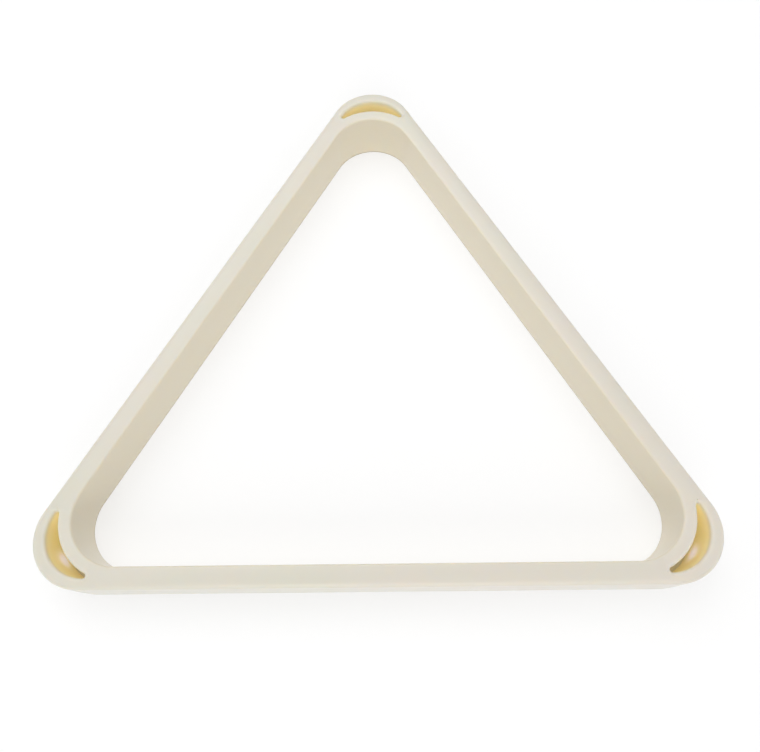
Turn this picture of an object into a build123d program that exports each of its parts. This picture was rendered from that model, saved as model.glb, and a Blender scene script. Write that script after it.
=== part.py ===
# A triangle rack for pool balls, moulded in ivory plastic.
#
# The rack is a hollow rail round a five-row triangle of balls.  It is two mouldings that
# meet at one flat seam: an upper shell with the top face, and a lower shell with the base.
# Each corner has a crescent slot that goes right through both shells.
#
# Millimetres, +Z up.  The rack lies on Z = 0, its straight front rail is towards -Y, the
# apex corner is towards +Y, and the origin is the middle of the footprint's box.

from build123d import *
import os
from math import sqrt

# The balls that the rack holds
ball_diameter = 57.15
ball_rows = 5
ball_clearance = 0.43          # between the outer balls and the wall beside them

# The rail
rack_height = 30.0
rail_width = 11.0
inner_corner_radius = 23.7
outer_corner_radius = 25.0
top_outer_edge_radius = 2.5
top_inner_edge_radius = 1.2
base_edge_radius = 1.5
seam_height = 12.0             # where the two shells meet

# The crescent slot in each corner
slot_outer_wall = 6.9          # from the slot to the outside, at the middle of the corner
slot_inner_wall = 6.7          # from the slot to the ball side, all along the slot
slot_outer_radius = 21.0
slot_tip_radius = 1.2
slot_edge_radius = 1.4

# The hollow cells inside each rail, and the ribs between them
shell_wall = 2.4
shell_skin = 2.6
rib_width = 2.4
cells_per_rail = 6
cell_corner_radius = 1.0

# The pegs of the lower shell, which line up the sockets of the upper one
peg_radius = 1.75
peg_length = 5.0
peg_chamfer = 0.5
peg_to_cell = 6.0              # from a peg's axis to the nearest cell
socket_clearance = 0.1         # round the peg
socket_end_gap = 0.5           # beyond the peg's end

# Distances from the middle of the nest of balls
nest_inradius = ball_diameter * ((ball_rows - 1) / sqrt(12) + 0.5) + ball_clearance
outer_inradius = nest_inradius + rail_width
rail_axis_inradius = nest_inradius + rail_width / 2
inner_corner_centre = 2 * (nest_inradius - inner_corner_radius)
outer_corner_centre = 2 * (outer_inradius - outer_corner_radius)
outer_reach = outer_corner_centre + outer_corner_radius
slot_inner_radius = inner_corner_radius + slot_inner_wall
slot_outer_centre = outer_reach - slot_outer_wall - slot_outer_radius
nest_y = (outer_inradius - outer_reach) / 2

# Distances along a rail from its middle
straight_half = sqrt(3) * (nest_inradius - inner_corner_radius)
cell_run = 2 * (straight_half - peg_to_cell)
cell_pitch = (cell_run + rib_width) / cells_per_rail


def level(height):
    """The plane at this height, with its own origin at the middle of the nest."""
    return Plane((0, nest_y, height))


def rounded_triangle(inradius, corner_radius):
    """An equal-sided triangle with round corners and one corner towards +Y."""
    with BuildSketch() as triangle:
        RegularPolygon(inradius, 3, major_radius=False, rotation=90)
        fillet(triangle.vertices(), corner_radius)
    return triangle.sketch


def crescent():
    """The apex corner's slot: a disc cut by a larger disc about the inner corner's centre."""
    with BuildSketch() as slot:
        with Locations((0, slot_outer_centre)):
            Circle(slot_outer_radius)
        with Locations((0, inner_corner_centre)):
            Circle(slot_inner_radius, mode=Mode.SUBTRACT)
        fillet(slot.vertices(), slot_tip_radius)
    return slot.sketch


def peg_discs(radius):
    """A disc at each peg: two on every rail, where the straight part of the nest ends."""
    with BuildSketch() as discs:
        with PolarLocations(rail_axis_inradius, 3, start_angle=30):
            with Locations((0, straight_half), (0, -straight_half)):
                Circle(radius)
    return discs.sketch


# The rail seen from above
with BuildSketch() as ring:
    add(rounded_triangle(outer_inradius, outer_corner_radius))
    add(rounded_triangle(nest_inradius, inner_corner_radius), mode=Mode.SUBTRACT)

# The three slots seen from above
with BuildSketch() as slots:
    with PolarLocations(0, 3):
        add(crescent())

# The row of cells in each rail seen from above
with BuildSketch() as cells:
    with PolarLocations(rail_axis_inradius, 3, start_angle=30):
        with GridLocations(0, cell_pitch, 1, cells_per_rail):
            RectangleRounded(rail_width - 2 * shell_wall, cell_pitch - rib_width, cell_corner_radius)

# The lower shell: base, lower walls, ribs and pegs
with BuildPart() as lower_shell:
    with BuildSketch(level(0)):
        add(ring.sketch)
    extrude(amount=seam_height)
    fillet(lower_shell.edges().group_by(Axis.Z)[0], base_edge_radius)
    with BuildSketch(level(0)):
        add(slots.sketch)
    extrude(amount=seam_height, mode=Mode.SUBTRACT)
    fillet(lower_shell.edges(Select.LAST).group_by(Axis.Z)[0], slot_edge_radius)
    with BuildSketch(level(shell_skin)):
        add(cells.sketch)
    extrude(amount=seam_height - shell_skin, mode=Mode.SUBTRACT)
    with BuildSketch(level(seam_height)):
        add(peg_discs(peg_radius))
    extrude(amount=peg_length)
    chamfer(lower_shell.edges().group_by(Axis.Z)[-1], peg_chamfer)

# The upper shell: top face, upper walls, ribs and peg sockets
with BuildPart() as upper_shell:
    with BuildSketch(level(seam_height)):
        add(ring.sketch)
    extrude(amount=rack_height - seam_height)
    fillet(upper_shell.faces().sort_by(Axis.Z)[-1].outer_wire().edges(), top_outer_edge_radius)
    fillet(upper_shell.faces().sort_by(Axis.Z)[-1].inner_wires().edges(), top_inner_edge_radius)
    with BuildSketch(level(seam_height)):
        add(slots.sketch)
    extrude(amount=rack_height - seam_height, mode=Mode.SUBTRACT)
    fillet(upper_shell.edges(Select.LAST).group_by(Axis.Z)[-1], slot_edge_radius)
    with BuildSketch(level(seam_height)):
        add(cells.sketch)
    extrude(amount=rack_height - seam_height - shell_skin, mode=Mode.SUBTRACT)
    with BuildSketch(level(seam_height)):
        add(peg_discs(peg_radius + socket_clearance))
    extrude(amount=peg_length + socket_end_gap, mode=Mode.SUBTRACT)

os.makedirs("parts", exist_ok=True)

lower_shell.part.label = "lower_shell"
export_step(lower_shell.part, "parts/lower_shell.step")

upper_shell.part.label = "upper_shell"
export_step(upper_shell.part, "parts/upper_shell.step")
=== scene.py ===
import bpy
import bmesh
import numpy as np
from math import cos, pi, radians, sin, sqrt, tan
from mathutils import Matrix, Vector


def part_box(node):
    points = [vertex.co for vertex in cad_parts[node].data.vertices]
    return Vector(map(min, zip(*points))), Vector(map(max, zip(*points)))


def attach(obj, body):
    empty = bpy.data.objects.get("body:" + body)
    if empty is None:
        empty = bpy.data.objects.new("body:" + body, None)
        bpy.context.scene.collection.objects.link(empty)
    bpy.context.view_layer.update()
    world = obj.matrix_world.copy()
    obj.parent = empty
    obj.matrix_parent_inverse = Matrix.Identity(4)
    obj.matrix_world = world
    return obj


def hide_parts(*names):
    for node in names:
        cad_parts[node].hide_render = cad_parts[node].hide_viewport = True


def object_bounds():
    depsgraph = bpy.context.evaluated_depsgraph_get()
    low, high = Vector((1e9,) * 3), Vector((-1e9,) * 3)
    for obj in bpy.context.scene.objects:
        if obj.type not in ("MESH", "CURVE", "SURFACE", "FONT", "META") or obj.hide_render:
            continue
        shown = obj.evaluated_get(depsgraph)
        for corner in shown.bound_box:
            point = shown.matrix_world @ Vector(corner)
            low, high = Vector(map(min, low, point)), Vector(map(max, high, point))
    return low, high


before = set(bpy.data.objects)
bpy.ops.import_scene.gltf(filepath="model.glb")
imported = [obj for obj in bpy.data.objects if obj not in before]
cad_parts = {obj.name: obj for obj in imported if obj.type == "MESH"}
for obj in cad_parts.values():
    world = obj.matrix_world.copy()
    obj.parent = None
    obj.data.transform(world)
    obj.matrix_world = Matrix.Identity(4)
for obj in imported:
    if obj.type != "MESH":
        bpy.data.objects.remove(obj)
cadLow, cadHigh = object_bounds()

# Everything is in metres. A "travel" is a distance along an outline from the middle of the apex corner,
# positive to the right, and a third of a loop later the next corner starts.

railShape = {
    "width": 0.011,
    "outerCorner": 0.025,
    "innerCorner": 0.0237,
    "hairInside": 0.00001,    # how far the outline stays inside the frame's box
    "draft": radians(0.6),    # the walls lean away from the seam, as a mould needs
    "railSteps": 61,          # points along the straight part of a rail
    "bendSteps": 15,          # points from a slot's tip to the straight part
    "roundSteps": 15,         # points over a rounded edge
    "lipSteps": 5,            # points over the tiny lip at the seam
    "wallShares": (0.04, 0.15, 0.3, 0.5, 0.7, 0.85, 0.96),    # points up a wall, closer at its ends
    "faceShares": (0.06, 0.25, 0.5, 0.75, 0.94, 1.0),         # points from a rounded edge to the middle line
    "seamShares": (0.0, 0.5, 1.0),                            # and the same on the seam's face
}

# The frame's box gives the outside; the nest and the corner centres follow from it
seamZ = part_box("upper_shell")[0][2]
halfWidth = (cadHigh[0] - cadLow[0]) / 2
fromDepth = (cadHigh[1] - cadLow[1] + railShape["outerCorner"]) / 3
fromWidth = (halfWidth - railShape["outerCorner"]) / sqrt(3) + railShape["outerCorner"]
outerInradius = min(fromDepth, fromWidth) - railShape["hairInside"]
innerInradius = outerInradius - railShape["width"]
nestMiddle = np.array([0.0, cadLow[1] + outerInradius])
outerCentre = 2 * (outerInradius - railShape["outerCorner"])
innerCentre = 2 * (innerInradius - railShape["innerCorner"])
straightHalf = sqrt(3) * (innerInradius - railShape["innerCorner"])
print("outline: half width", round(halfWidth, 5), "nest inradius", round(innerInradius, 5))


def spin(point, corner):
    # Turns points clockwise about the nest by a third of a turn for each corner passed
    angle = -np.asarray(corner) * 2 * pi / 3
    cosine, sine = np.cos(angle), np.sin(angle)
    x, y = point[..., 0], point[..., 1]
    return np.stack([cosine * x - sine * y, sine * x + cosine * y], -1)


def roundedTriangle(travel, inradius, radius):
    # Edge of a triangle with round corners: an arc about the corner's centre up to a sixth of a turn each
    # way, then the straight tangent. Past half of a side the point belongs to the next corner.
    arc = radius * pi / 3
    side = 2 * (arc + sqrt(3) * (inradius - radius))
    corner = np.round(travel / side)
    local = travel - corner * side
    turn = np.clip(local, -arc, arc) / radius
    beyond = local - turn * radius
    normal = np.stack([np.sin(turn), np.cos(turn)], -1)
    along = np.stack([np.cos(turn), -np.sin(turn)], -1)
    centre = np.array([0.0, 2 * (inradius - radius)])
    point = centre + radius * normal + beyond[:, None] * along
    return spin(point, corner), spin(normal, corner)


slotShape = {
    "outerWall": 0.0069,
    "innerWall": 0.0067,
    "radius": 0.021,
    "tip": 0.0012,
    "edge": 0.0014,
    "tipSteps": 13,
    "outerSteps": 61,
    "innerSteps": 51,
    "glowDepth": 0.0042,      # how far below its edge the wall has its full painted amber tint and painted glow
    "litPatchHeight": 0.0120,    # the painted patch of light in the middle of each slot's outer wall
    "litPatchTall": 0.0062,
    "litPatchWide": 0.0048,
}
slotCentre = outerCentre + railShape["outerCorner"] - slotShape["outerWall"] - slotShape["radius"]
slotInnerRadius = railShape["innerCorner"] + slotShape["innerWall"]


def arcPart(fromTurn, toTurn, steps, centre, radius, side):
    # Points on a circle at evenly spaced turns from +Y, with normals outward (side 1) or inward (side -1)
    turn = np.linspace(fromTurn, toTurn, steps)
    normal = np.stack([np.sin(turn), np.cos(turn)], -1)
    return np.array(centre) + radius * normal, side * normal


def joined(parts):
    # Parts end to end, each shared end kept once
    return tuple(np.concatenate([parts[0][i]] + [part[i][1:] for part in parts[1:]]) for i in (0, 1))


def crescentHalves():
    # The apex slot: an outer arc about slotCentre, an inner arc about innerCentre, and at each tip a small
    # circle that touches both, whose centre is where two circles of the reduced and the grown radius cross.
    # Each half runs from the middle of the left tip to the middle of the right; normals point into plastic.
    tip, steps = slotShape["tip"], slotShape["tipSteps"]
    outerR, innerR = slotShape["radius"] - tip, slotInnerRadius + tip
    spread = slotCentre - innerCentre
    tipY = innerCentre + (innerR ** 2 - outerR ** 2 + spread ** 2) / (2 * spread)
    tipX = sqrt(outerR ** 2 - (tipY - slotCentre) ** 2)
    outerTurn = np.arctan2(tipX, tipY - slotCentre)
    innerTurn = np.arctan2(tipX, tipY - innerCentre)
    middle = (outerTurn + innerTurn + pi) / 2
    outer = joined([
        arcPart(-middle, -outerTurn, steps, (-tipX, tipY), tip, 1),
        arcPart(-outerTurn, outerTurn, slotShape["outerSteps"], (0, slotCentre), slotShape["radius"], 1),
        arcPart(outerTurn, middle, steps, (tipX, tipY), tip, 1)])
    inner = joined([
        arcPart(-middle, -innerTurn - pi, steps, (-tipX, tipY), tip, 1),
        arcPart(-innerTurn, innerTurn, slotShape["innerSteps"], (0, innerCentre), slotInnerRadius, -1),
        arcPart(innerTurn + pi, middle, steps, (tipX, tipY), tip, 1)])
    return outer, inner


outerHalf, innerHalf = crescentHalves()
print("slots:", len(outerHalf[0]) + len(innerHalf[0]) - 2, "points round each")


def railShare(start, end):
    # Shares of the way along a rail: close steps over the two bends, wide steps over the straight middle
    bend, run = railShape["bendSteps"], railShape["railSteps"]
    return np.concatenate([np.linspace(0, start, bend)[1:], np.linspace(start, end, run)[1:],
                           np.linspace(end, 1, bend)[1:-1]])


def boundaryLoop(half, inradius, radius):
    # A whole outline in step with the slots: across each corner its points face those of the slot's half
    # outline, in proportion to distance, and along each rail they keep the straight part's even steps.
    arc = radius * pi / 3
    side = 2 * (arc + sqrt(3) * (inradius - radius))
    away = outerHalf[0][-1] - np.array([0.0, 2 * (inradius - radius)])
    turn = np.arctan2(away[0], away[1])
    past = away @ np.array([cos(pi / 3), -sin(pi / 3)])
    reach = turn * radius if turn < pi / 3 else arc + past
    gaps = np.linalg.norm(np.diff(half[0], axis=0), axis=1)
    corner = (2 * np.concatenate([[0], np.cumsum(gaps)]) / gaps.sum() - 1) * reach
    edge = (side / 2 - straightHalf - reach) / (side - 2 * reach)
    rail = reach + railShare(edge, 1 - edge) * (side - 2 * reach)
    travel = np.concatenate([corner, rail])
    travel = np.concatenate([travel + k * side for k in range(3)])
    return roundedTriangle(travel, inradius, radius)


def middleLoop(half, offset):
    # The line where the two sides of the rail's face meet: the slot's half outline, moved into the plastic
    # by the offset, at each corner, and a straight line from slot tip to slot tip along each rail.
    outline = half[0] + offset * half[1]
    start, end = outline[-1], spin(outline[0], 1)
    lead = np.linalg.norm(outerHalf[0][-1] - spin(outerHalf[0][0], 1))
    edge = (1 - 2 * straightHalf / lead) / 2
    rail = start + railShare(edge, 1 - edge)[:, None] * (end - start)
    third = np.concatenate([outline, rail])
    return np.concatenate([spin(third, k) for k in range(3)])


def wallProfile(edge, rise, lip, crownSlope):
    # Section of a wall from the seam to its face, as insets from the outline and heights above the seam: a
    # tiny rounded lip, a wall that leans in by the draft angle, and a round that starts along the wall and
    # ends along the face, which is short of level by the crown's slope.
    draft = railShape["draft"]
    lipTurn = np.linspace(pi / 2, 0, railShape["lipSteps"])
    turn = np.linspace(draft, pi / 2 - crownSlope, railShape["roundSteps"])
    roundHeight = rise - edge + edge * np.sin(turn)
    lean = (roundHeight[0] - lip) * tan(draft)
    roundInset = lean + edge * (cos(draft) - np.cos(turn))
    share = np.array(railShape["wallShares"])
    inset = np.concatenate([lip * (1 - np.cos(lipTurn)), share * lean, roundInset])
    height = np.concatenate([lip * (1 - np.sin(lipTurn)), lip + share * (roundHeight[0] - lip), roundHeight])
    return inset, height


def gridFaces(rows, columns):
    # Quads of a closed band: each row meets the next, and the last column meets the first
    row = np.arange(rows - 1)[:, None] * columns
    column = np.arange(columns)[None, :]
    after = (column + 1) % columns
    quads = [row + column, row + after, row + columns + after, row + columns + column]
    return np.stack(quads, -1).reshape(-1, 4)


def sideBand(boundary, middle, shape, rise, edge, away):
    # One side of a shell: the outline moved in by the wall's inset at each height, then the face, which
    # rises to the middle line as a parabola. Its drop at the edge is half of slope times width.
    inset, height = wallProfile(edge, rise, shape["lip"], shape["crownSlope"])
    points, normals = boundary
    walls = points[None] - away * inset[:, None, None] * normals[None]
    span = np.linalg.norm(middle - walls[-1], axis=-1)
    drop = tan(shape["crownSlope"]) * span / 2
    wallZ = height[:, None] - drop[None] * (height / height[-1])[:, None]
    share = np.array(railShape["faceShares"])[:, None]
    flat = walls[-1][None] * (1 - share[..., None]) + middle[None] * share[..., None]
    flatZ = rise - (drop + rise - height[-1])[None] * (1 - share) ** 2
    grid = np.concatenate([walls, flat])
    z = np.concatenate([wallZ, flatZ])
    return np.concatenate([grid, z[..., None]], -1)


def closedMesh(name, points, faces, masks, merge):
    # Joins the bands where they meet and turns every face outward
    mesh = bpy.data.meshes.new(name)
    mesh.from_pydata(points, [], faces)
    for label, values in masks.items():
        mesh.attributes.new(label, "FLOAT", "POINT").data.foreach_set("value", values)
    work = bmesh.new()
    work.from_mesh(mesh)
    bmesh.ops.remove_doubles(work, verts=work.verts, dist=merge)
    bmesh.ops.recalc_face_normals(work, faces=work.faces)
    openEdges = sum(len(e.link_faces) != 2 for e in work.edges)
    volume = work.calc_volume(signed=True)
    work.to_mesh(mesh)
    work.free()
    mesh.shade_smooth()
    thing = bpy.data.objects.new(name, mesh)
    bpy.context.scene.collection.objects.link(thing)
    print(name, "faces", len(mesh.polygons), "open edges", openEdges, "volume", round(volume * 1e9), "mm3")
    return thing


def slotMasks(ring, drop, height):
    # Shares of the slot's painted amber tint and painted glow, which stand in for light coming through the
    # plastic and deepen below the slot's edge, and of the painted patch of light, which fades like a bell
    # from its middle and is on the outer wall only
    below = np.clip(drop / slotShape["glowDepth"], 0, 1)
    middle = (slotCentre + slotShape["radius"] + innerCentre + slotInnerRadius) / 2
    across = ring[..., 0] / slotShape["litPatchWide"]
    upward = (height - slotShape["litPatchHeight"])[:, None] / slotShape["litPatchTall"]
    litPatch = np.exp(-np.hypot(across, upward) ** 2) * (ring[..., 1] > middle)
    return (below * below * (3 - 2 * below))[:, None], litPatch


def shellMesh(name, shape, seam, face):
    # A shell is four bands, two sides and two halves of its seam face, and a ring for each slot, merged
    # where they meet. Three masks ride on its points: where the nest's walls get painted shade, how deep a
    # slot's painted tint and glow are, and where the painted patch of light is.
    rise, up = abs(face - seam), 1 if face > seam else -1
    slotInset, slotHeight = wallProfile(slotShape["edge"], rise, shape["lip"], 0)
    slotInset = slotInset - slotInset[-1] + slotShape["edge"]
    points, faces = [], []
    masks = {"nestSide": [], "slotDepth": [], "slotLitPatch": []}

    def put(grid, *values):
        rows, columns = grid.shape[:2]
        faces.append(gridFaces(rows, columns) + sum(len(p) for p in points))
        points.append(grid.reshape(-1, 3))
        for store, value in zip(masks.values(), values):
            store.append(np.broadcast_to(value, (rows, columns)).reshape(-1))

    # The nest's inner walls get painted shade, a darker and warmer copy of the ivory, which fades out over
    # their rounded edge; the outer walls get none
    faceRows, roundRows = len(railShape["faceShares"]), railShape["roundSteps"]
    wallRows = len(slotHeight) - roundRows
    nestWall = np.concatenate([np.ones(wallRows), np.linspace(1, 0, roundRows), np.zeros(faceRows)])
    sides = ((outerHalf, outerInradius, railShape["outerCorner"], 1, shape["outerEdge"], 0 * nestWall),
             (innerHalf, innerInradius, railShape["innerCorner"], -1, shape["innerEdge"], nestWall))
    for half, inradius, radius, away, edge, nestSide in sides:
        boundary = boundaryLoop(half, inradius, radius)
        band = sideBand(boundary, middleLoop(half, slotInset[-1]), shape, rise, edge, away)
        put(band, nestSide[:, None], 0, 0)
        share = np.array(railShape["seamShares"])[:, None, None]
        rim = boundary[0] - away * shape["lip"] * boundary[1]
        seamFace = rim[None] * (1 - share) + middleLoop(half, slotInset[0])[None] * share
        put(np.concatenate([seamFace, np.zeros(seamFace.shape[:2] + (1,))], -1), 0, 0, 0)

    outline = np.concatenate([outerHalf[0], innerHalf[0][-2:0:-1]])
    normals = np.concatenate([outerHalf[1], innerHalf[1][-2:0:-1]])
    ring = outline[None] + slotInset[:, None, None] * normals[None]
    depth, litPatch = slotMasks(ring, rise - slotHeight, seam + up * slotHeight)
    tall = np.broadcast_to(slotHeight[:, None, None], ring.shape[:2] + (1,))
    for corner in range(3):
        put(np.concatenate([spin(ring, corner), tall], -1), 0, depth, litPatch)

    allPoints = np.concatenate(points)
    allPoints[:, :2] += nestMiddle
    allPoints[:, 2] = seam + up * allPoints[:, 2]
    allMasks = {label: np.concatenate(values) for label, values in masks.items()}
    return closedMesh(name, allPoints, np.concatenate(faces), allMasks, shape["merge"])


upperShape = {
    "outerEdge": 0.0025,
    "innerEdge": 0.0012,
    "crownSlope": radians(7),    # slope of the top face where it meets its rounded edges
    "lip": 0.00004,
    "merge": 0.000002,
}
upperShell = shellMesh("upperShell", upperShape, seamZ, cadHigh[2])

lowerShape = {
    "outerEdge": 0.0015,
    "innerEdge": 0.0015,
    "crownSlope": 0.0,
    "lip": 0.00004,
    "merge": 0.000002,
}
lowerShell = shellMesh("lowerShell", lowerShape, seamZ, cadLow[2])

ivory = {
    "shades": [
        (0.0, (0.720, 0.700, 0.612, 1)),
        (0.5, (0.730, 0.700, 0.618, 1)),
        (1.0, (0.742, 0.698, 0.622, 1)),
    ],
    # Painted shade on the nest's inner walls, darker and warmer than the top
    "paintedNestShade": (0.735, 0.675, 0.540, 1),
    # Painted amber tint in the slots, for light that comes through the plastic
    "paintedSlotTint": (0.880, 0.815, 0.565, 1),
    # Painted patch of light on each slot's outer wall: its paler tint, and below its brighter, bluer glow
    "litPatchShade": (0.90, 0.82, 0.72, 1),
    "cloud": {"scale": 16, "detail": 1.0, "roughness": 0.5, "range": (0.3, 0.7)},
    # Painted glow in the slots: an emission for light that comes through the plastic
    "glow": (1.0, 0.76, 0.28, 1),
    "glowStrength": 0.112,
    "litPatchGlow": (0.60, 0.66, 1.0, 1),
    "litPatchStrength": 0.40,
    "wear": {"scale": 45, "detail": 2.0, "roughness": 0.5, "range": (0.3, 0.7)},
    "gloss": (0.29, 0.36),         # the finish's roughness, fresh and worn
    "index": 1.49,
    "depth": (1.0, 0.85, 0.65),    # how far red, green and blue light travel, as shares of the scale
    "nearSeam": (0.0015, 0.0002),  # distance from the seam and the scale there
    "awayFromSeam": (0.006, 0.003),
    "ripple": {"scale": 30, "detail": 1.0, "roughness": 0.4, "strength": 0.25, "height": 0.0003},
    "grain": {"scale": 1400, "detail": 2.0, "roughness": 0.5, "strength": 0.05, "height": 0.00002},
}


def ivoryPlastic():
    material = bpy.data.materials.new("ivoryPlastic")
    material.use_nodes = True
    nodes, links = material.node_tree.nodes, material.node_tree.links
    nodes.clear()

    def add(kind, label, **settings):
        node = nodes.new(kind)
        node.label = label
        for key, value in settings.items():
            setattr(node, key, value)
        return node

    def noise(label):
        node = add("ShaderNodeTexNoise", label + " noise")
        for socket in ("Scale", "Detail", "Roughness"):
            node.inputs[socket].default_value = ivory[label][socket.lower()]
        links.new(place.outputs["Object"], node.inputs["Vector"])
        return node.outputs["Fac"]

    def blend(label, factor, a, b):
        node = add("ShaderNodeMix", label, data_type="RGBA")
        links.new(factor, node.inputs["Factor"])
        for socket, value in (("A", a), ("B", b)):
            if isinstance(value, tuple):
                node.inputs[socket].default_value = value
            else:
                links.new(value, node.inputs[socket])
        return node.outputs["Result"]

    def spread(label, value, fromLow, fromHigh, low, high):
        node = add("ShaderNodeMapRange", label, interpolation_type="SMOOTHSTEP")
        links.new(value, node.inputs["Value"])
        limits = {"From Min": fromLow, "From Max": fromHigh, "To Min": low, "To Max": high}
        for socket, number in limits.items():
            node.inputs[socket].default_value = number
        return node.outputs["Result"]

    def sums(label, operation, a, b):
        node = add("ShaderNodeMath", label, operation=operation)
        for index, value in enumerate((a, b)):
            if isinstance(value, (int, float)):
                node.inputs[index].default_value = value
            else:
                links.new(value, node.inputs[index])
        return node.outputs[0]

    out = add("ShaderNodeOutputMaterial", "out")
    plastic = add("ShaderNodeBsdfPrincipled", "plastic")
    links.new(plastic.outputs["BSDF"], out.inputs["Surface"])
    place = add("ShaderNodeTexCoord", "place")
    parts = add("ShaderNodeSeparateXYZ", "height")
    links.new(place.outputs["Object"], parts.inputs["Vector"])
    nestSide = add("ShaderNodeAttribute", "nest side", attribute_name="nestSide").outputs["Fac"]
    slotDepth = add("ShaderNodeAttribute", "slot depth", attribute_name="slotDepth").outputs["Fac"]
    slotLitPatch = add("ShaderNodeAttribute", "slot lit patch", attribute_name="slotLitPatch").outputs["Fac"]

    # Slow drifts of shade, as the plastic flowed in the mould
    cloud = spread("cloud", noise("cloud"), *ivory["cloud"]["range"], 0.0, 1.0)
    ramp = add("ShaderNodeValToRGB", "shades")
    stops = ramp.color_ramp.elements
    for index, (at, shade) in enumerate(ivory["shades"]):
        stop = stops[index] if index < len(stops) else stops.new(at)
        stop.position, stop.color = at, shade
    links.new(cloud, ramp.inputs["Fac"])
    # Painted shade on the nest's inner walls
    shade = blend("painted nest shade", nestSide, ramp.outputs["Color"], ivory["paintedNestShade"])
    # In the slots a painted amber tint for light through the plastic, paler on the painted patch of light
    paintedSlotTint = blend("lit patch shade", slotLitPatch, ivory["paintedSlotTint"], ivory["litPatchShade"])
    shade = blend("painted slot tint", slotDepth, shade, paintedSlotTint)
    links.new(shade, plastic.inputs["Base Color"])

    # Painted glow: an emission on the slot walls that stands in for light coming through the plastic, paler
    # and bluer on the painted patch of light
    glow = blend("glow", slotLitPatch, ivory["glow"], ivory["litPatchGlow"])
    links.new(glow, plastic.inputs["Emission Color"])
    strength = spread("lit patch strength", slotLitPatch, 0.0, 1.0, ivory["glowStrength"], ivory["litPatchStrength"])
    strength = sums("glow strength", "MULTIPLY", slotDepth, strength)
    links.new(strength, plastic.inputs["Emission Strength"])

    # Gloss, duller where hands and table wear it
    gloss = spread("gloss", noise("wear"), *ivory["wear"]["range"], *ivory["gloss"])
    links.new(gloss, plastic.inputs["Roughness"])

    # Light travels less far close to the seam, where it would be lost between the shells
    near, nearScale = ivory["nearSeam"]
    far, farScale = ivory["awayFromSeam"]
    fromSeam = sums("from seam", "ABSOLUTE", sums("above seam", "SUBTRACT", parts.outputs["Z"], seamZ), 0)
    lightDepth = spread("light depth", fromSeam, near, far, nearScale, farScale)
    links.new(lightDepth, plastic.inputs["Subsurface Scale"])
    plastic.inputs["Subsurface Weight"].default_value = 1.0
    plastic.inputs["Subsurface Radius"].default_value = ivory["depth"]
    plastic.inputs["IOR"].default_value = ivory["index"]

    # Moulded surface: a long ripple, and over it a fine grain
    surface = None
    for label in ("ripple", "grain"):
        bump = add("ShaderNodeBump", label)
        bump.inputs["Strength"].default_value = ivory[label]["strength"]
        bump.inputs["Distance"].default_value = ivory[label]["height"]
        links.new(noise(label), bump.inputs["Height"])
        if surface:
            links.new(surface, bump.inputs["Normal"])
        surface = bump.outputs["Normal"]
    links.new(surface, plastic.inputs["Normal"])
    return material


plastic = ivoryPlastic()
for piece, node in ((upperShell, "upper_shell"), (lowerShell, "lower_shell")):
    piece.data.materials.append(plastic)
    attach(piece, "root")
    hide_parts(node)
print("plastic: done")

floorShape = {
    "reach": 4.0,
    "shade": (0.4, 0.4, 0.4, 1),
    "roughness": 0.9,
    "glow": (1.0, 1.0, 1.0, 1),
    "lift": 0.61,
    "contactGlow": (1.0, 0.74, 0.30, 1),    # painted amber light on the floor under the rack, for light that comes through the plastic
    "contactLift": 0.18,
    "innerShort": 0.0004,      # how far the band stays under the nest's walls
    "outerShort": 0.0010,      # and under the outer walls
    "contactAbove": 0.00002,
    "contactSteps": 480,
}


def contactLoop(inradius, radius):
    # Points on the floor along one edge of the band under the rack
    full = 6 * (radius * pi / 3 + sqrt(3) * (inradius - radius))
    travel = np.arange(floorShape["contactSteps"]) * full / floorShape["contactSteps"]
    level = np.full(floorShape["contactSteps"], cadLow[2] + floorShape["contactAbove"])
    return np.c_[roundedTriangle(travel, inradius, radius)[0] + nestMiddle, level]


# A big pale floor, and on it a band with a weaker, amber glow: painted shadow under the rack, seen through
# the slots and along the foot of its walls, tinted with painted light
reach, outerShort, innerShort = floorShape["reach"], floorShape["outerShort"], floorShape["innerShort"]
floorMesh = bpy.data.meshes.new("floor")
floorSquare = ((-reach, -reach), (reach, -reach), (reach, reach), (-reach, reach))
floorCorners = [(x, y, cadLow[2]) for x, y in floorSquare]
outside = contactLoop(outerInradius - outerShort, railShape["outerCorner"] - outerShort)
inside = contactLoop(innerInradius + innerShort, railShape["innerCorner"] + innerShort)
band = gridFaces(2, len(outside))[:, ::-1] + len(floorCorners)
floorMesh.from_pydata(np.concatenate([floorCorners, outside, inside]), [], [(0, 1, 2, 3)] + band.tolist())
floor = bpy.data.objects.new("floor", floorMesh)
bpy.context.scene.collection.objects.link(floor)
floorPaint = bpy.data.materials.new("floorPaint")
floorPaint.use_nodes = True
# The band's paint: painted shadow, with a faint painted amber glow
shadedPaint = bpy.data.materials.new("shadedPaint")
shadedPaint.use_nodes = True
for coat, glow, lift in ((floorPaint, "glow", "lift"), (shadedPaint, "contactGlow", "contactLift")):
    paint = coat.node_tree.nodes["Principled BSDF"]
    paint.inputs["Base Color"].default_value = floorShape["shade"]
    paint.inputs["Roughness"].default_value = floorShape["roughness"]
    paint.inputs["Specular IOR Level"].default_value = 0.0
    paint.inputs["Emission Color"].default_value = floorShape[glow]
    paint.inputs["Emission Strength"].default_value = floorShape[lift]
    floorMesh.materials.append(coat)
floorMesh.polygons.foreach_set("material_index", [0] + [1] * len(band))

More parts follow.
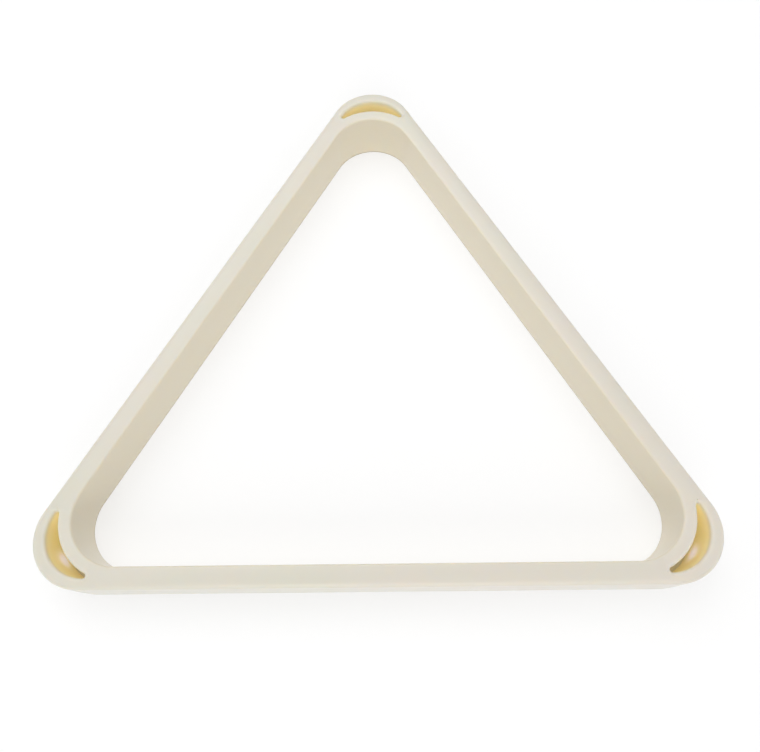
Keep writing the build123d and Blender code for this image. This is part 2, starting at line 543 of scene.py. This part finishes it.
studio = {
    "sky": 0.178,
    "softboxes": [
        ("backSoftbox", (-0.35, 0.75, 1.2), 1.4, 6.9),
        ("topSoftbox", (0.0, 0.35, 1.5), 2.0, 11.6),
        ("frontSoftbox", (0.0, -1.9, 0.95), 1.5, 20.2),
        ("leftSoftbox", (-1.2, 0.0, 0.7), 1.0, 3.1),
        ("rightSoftbox", (1.2, 0.0, 0.7), 1.0, 3.2),
    ],
}
world = bpy.data.worlds.new("studio")
bpy.context.scene.world = world
world.use_nodes = True
sky = world.node_tree.nodes["Background"]
sky.inputs["Color"].default_value = (1, 1, 1, 1)
sky.inputs["Strength"].default_value = studio["sky"]


def softbox(name, place, size, power):
    lamp = bpy.data.lights.new(name, "AREA")
    lamp.shape = "SQUARE"
    lamp.size = size
    lamp.energy = power
    holder = bpy.data.objects.new(name, lamp)
    holder.location = place
    holder.rotation_euler = (-Vector(place)).to_track_quat("-Z", "Y").to_euler()
    bpy.context.scene.collection.objects.link(holder)


for name, place, size, power in studio["softboxes"]:
    softbox(name, place, size, power)

view = {
    "place": (0.0079769, -0.1325058, 0.3620599),    # from the middle of the nest, at the base
    "tilt": 0.3673,
    "yaw": 0.0226,
    "roll": -0.0083,
    "focal": 0.908697,                              # this and the shift are shares of the frame's width
    "shift": (0.0075, 0.0094605),
    "sensor": 36,
}
lens = bpy.data.cameras.new("camera")
lens.sensor_width = view["sensor"]
lens.lens = view["sensor"] * view["focal"]
lens.shift_x, lens.shift_y = view["shift"]
lens.clip_start = 0.01
camera = bpy.data.objects.new("camera", lens)
turn = (Matrix.Rotation(view["yaw"], 4, "Y") @ Matrix.Rotation(view["tilt"], 4, "X")
        @ Matrix.Rotation(view["roll"], 4, "Z"))
spot = Vector(view["place"]) + Vector((nestMiddle[0], nestMiddle[1], cadLow[2]))
camera.matrix_world = Matrix.Translation(spot) @ turn
bpy.context.scene.collection.objects.link(camera)
bpy.context.scene.camera = camera
bpy.context.scene.view_settings.view_transform = "Standard"
print("floor, lights and camera: done")
